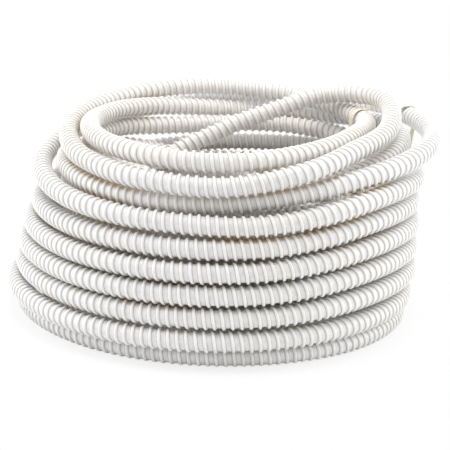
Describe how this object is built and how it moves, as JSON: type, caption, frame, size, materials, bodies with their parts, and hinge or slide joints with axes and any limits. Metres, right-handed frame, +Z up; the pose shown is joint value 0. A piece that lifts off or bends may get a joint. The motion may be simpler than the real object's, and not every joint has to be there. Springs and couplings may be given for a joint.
{
  "type": "pool vacuum hose",
  "caption": "Long ribbed white vacuum hose wound into a free-standing round roll with loose top turns, a plain cuff on one end and a swivel cuff on the other.",
  "frame": {"origin": "middle of the roll's own box, on the floor that it stands on", "axes": "+Z up along the roll's axis; +Y along both cuffs, out of their mouths; +X to the right as seen from the front"},
  "size_m": [0.959, 0.9138, 0.4724],
  "materials": {
    "hose_wall": "flexible white vinyl, glossy ribs",
    "cuff_white": "moulded, slightly soft",
    "cuff_grey": "moulded, fine texture",
    "seal_rubber": "smooth black rubber",
    "band": "cream polypropylene strap",
    "clip_steel": "crimped strip"
  },
  "bodies": {
    "hose": {"hose_coil": "hose_wall", "hose_end": "hose_wall", "fixed_cuff": "cuff_white", "swivel_collar": "cuff_white", "swivel_seal": "seal_rubber", "tie_band": "band", "band_clip": "clip_steel"},
    "swivel": {"swivel_cuff": "cuff_grey", "swivel_retaining_ring": "cuff_white"}
  },
  "joints": [
    {"name": "swivel_spin", "type": "hinge", "parent": "hose", "child": "swivel", "pos_m": [0.11659, 0.08087, 0.029], "axis": [0, 1, 0], "continuous": true}
  ]
}
